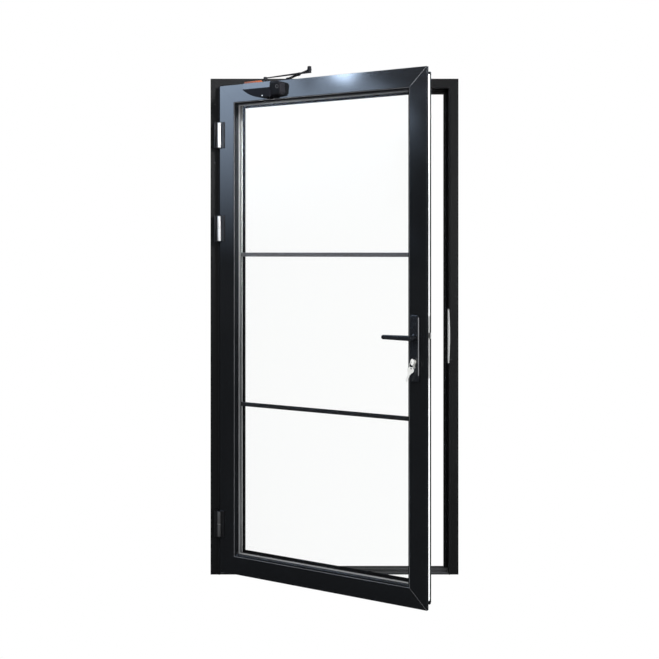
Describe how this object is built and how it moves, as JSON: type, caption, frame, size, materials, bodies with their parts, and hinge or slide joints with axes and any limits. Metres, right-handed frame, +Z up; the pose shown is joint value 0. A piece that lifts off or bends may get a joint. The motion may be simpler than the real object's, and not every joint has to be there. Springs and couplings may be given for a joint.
{
  "type": "glazed swing door with frame",
  "caption": "Glazed aluminium swing door in its frame, standing ajar, with barrel hinges, lever lock with keys, overhead closer and low threshold.",
  "frame": {"origin": "middle of the frame's underside, halfway through its depth", "axes": "+Z up, +X along the opening from the hinges to the lock, +Y into the wall; the leaf opens to -Y"},
  "size_m": [1.05, 0.626, 2.122],
  "materials": {
    "frame_black": "satin powder coat over aluminium",
    "leaf_black": "glossy powder coat over aluminium",
    "bare_aluminium": "satin mill finish",
    "threshold_aluminium": "ribbed, grey anodised",
    "glass": "clear",
    "seal_rubber": "matte",
    "strike_steel": "brushed",
    "lock_steel": "zinc plated",
    "hinge_black": "glossy black",
    "pin_steel": "ground",
    "handle_black": "satin black",
    "cylinder_nickel": "satin nickel",
    "key_nickel": "polished nickel",
    "closer_black": "glossy black",
    "closer_plastic": "glossy",
    "arm_black": "satin black",
    "plastic_white": "plain",
    "plastic_black": "plain",
    "bar_grey": "satin"
  },
  "bodies": {
    "frame": {"jamb_hinge_side": "frame_black", "jamb_lock_side": "frame_black", "frame_head": "frame_black", "threshold": "threshold_aluminium", "frame_face_seal": "seal_rubber", "frame_stop_seal": "seal_rubber", "frame_corner_cleats": "bare_aluminium", "strike_plate": "strike_steel", "fixing_caps": "plastic_black", "hinge_frame_part_bottom": "hinge_black", "hinge_frame_part_middle": "hinge_black", "hinge_frame_part_top": "hinge_black", "hinge_pins": "pin_steel", "hinge_bushes": "plastic_white", "closer_shoe": "arm_black"},
    "leaf": {"hinge_leaf_part_bottom": "hinge_black", "hinge_leaf_part_middle": "hinge_black", "hinge_leaf_part_top": "hinge_black", "stile_hinge_side": "leaf_black", "stile_lock_side": "leaf_black", "rail_top": "leaf_black", "rail_bottom": "leaf_black", "glazing_bead_hinge": "leaf_black", "glazing_bead_lock": "leaf_black", "glazing_bead_top": "leaf_black", "glazing_bead_bottom": "leaf_black", "leaf_corner_cleats": "bare_aluminium", "glass_outer_pane": "glass", "glass_inner_pane": "glass", "glass_spacer": "bare_aluminium", "glazing_bar_lower": "bar_grey", "glazing_bar_upper": "bar_grey", "glazing_seal_outer": "seal_rubber", "glazing_seal_inner": "seal_rubber", "setting_blocks": "plastic_black", "bottom_sweep": "seal_rubber", "edge_cover_strips": "bare_aluminium", "lock_case": "lock_steel", "lock_faceplate": "strike_steel", "lock_cylinder": "cylinder_nickel", "handle_plate_front": "handle_black", "handle_plate_back": "handle_black", "closer_body": "closer_black", "closer_cap": "closer_plastic", "closer_screws": "lock_steel"},
    "levers": {"lever_front": "handle_black", "lever_back": "handle_black", "lever_spindle": "lock_steel"},
    "latch": {"latch_bolt": "lock_steel"},
    "bolt": {"dead_bolt": "lock_steel"},
    "plug": {"cylinder_plug": "cylinder_nickel", "key": "key_nickel"},
    "ring": {"key_ring": "key_nickel", "spare_key": "key_nickel"},
    "closer_arm": {"closer_spindle": "arm_black", "closer_main_arm": "arm_black"},
    "forearm": {"closer_forearm_tube": "arm_black", "closer_forearm_rod": "arm_black", "closer_elbow_screw": "arm_black"}
  },
  "joints": [
    {"name": "leaf_swing", "type": "hinge", "parent": "frame", "child": "leaf", "pos_m": [-0.486, -0.061, 1], "axis": [0, 0, -1], "range_deg": [-31.7, 48.3]},
    {"name": "closer_arm_turn", "type": "hinge", "parent": "leaf", "child": "closer_arm", "pos_m": [-0.2817, -0.20598, 2.06], "axis": [0, 0, 1], "range_deg": [-45.8, 69.7]},
    {"name": "forearm_turn", "type": "hinge", "parent": "frame", "child": "forearm", "pos_m": [-0.196, -0.06, 2.091], "axis": [0, 0, -1], "range_deg": [-33.1, 50.4]},
    {"name": "lever_turn", "type": "hinge", "parent": "leaf", "child": "levers", "pos_m": [0.3052, -0.54026, 1.043], "axis": [0.5255, 0.8508, 0], "range_deg": [-40, 0], "stiffness_Nm_per_rad": 1.5, "springref_deg": 22.92},
    {"name": "latch_slide", "type": "slide", "parent": "leaf", "child": "latch", "axis": [0.8508, -0.5255, 0], "range_m": [-0.0121, 0]},
    {"name": "key_turn", "type": "hinge", "parent": "leaf", "child": "plug", "pos_m": [0.30047, -0.54791, 0.952], "axis": [0.5255, 0.8508, 0], "range_deg": [0, 330]},
    {"name": "dead_bolt_slide", "type": "slide", "parent": "leaf", "child": "bolt", "axis": [0.8508, -0.5255, 0], "range_m": [0, 0.0201]},
    {"name": "ring_swing", "type": "hinge", "parent": "plug", "child": "ring", "pos_m": [0.2876, -0.56876, 0.952], "axis": [0.8508, -0.5255, 0], "range_deg": [-25, 12]}
  ],
  "couplings": [
    {"joint": "closer_arm_turn", "follows": "leaf_swing", "ratio": 1.44},
    {"joint": "forearm_turn", "follows": "leaf_swing", "ratio": 1.04},
    {"joint": "latch_slide", "follows": "lever_turn", "m_per_rad": 0.017189},
    {"joint": "dead_bolt_slide", "follows": "key_turn", "m_per_rad": 0.003472}
  ]
}
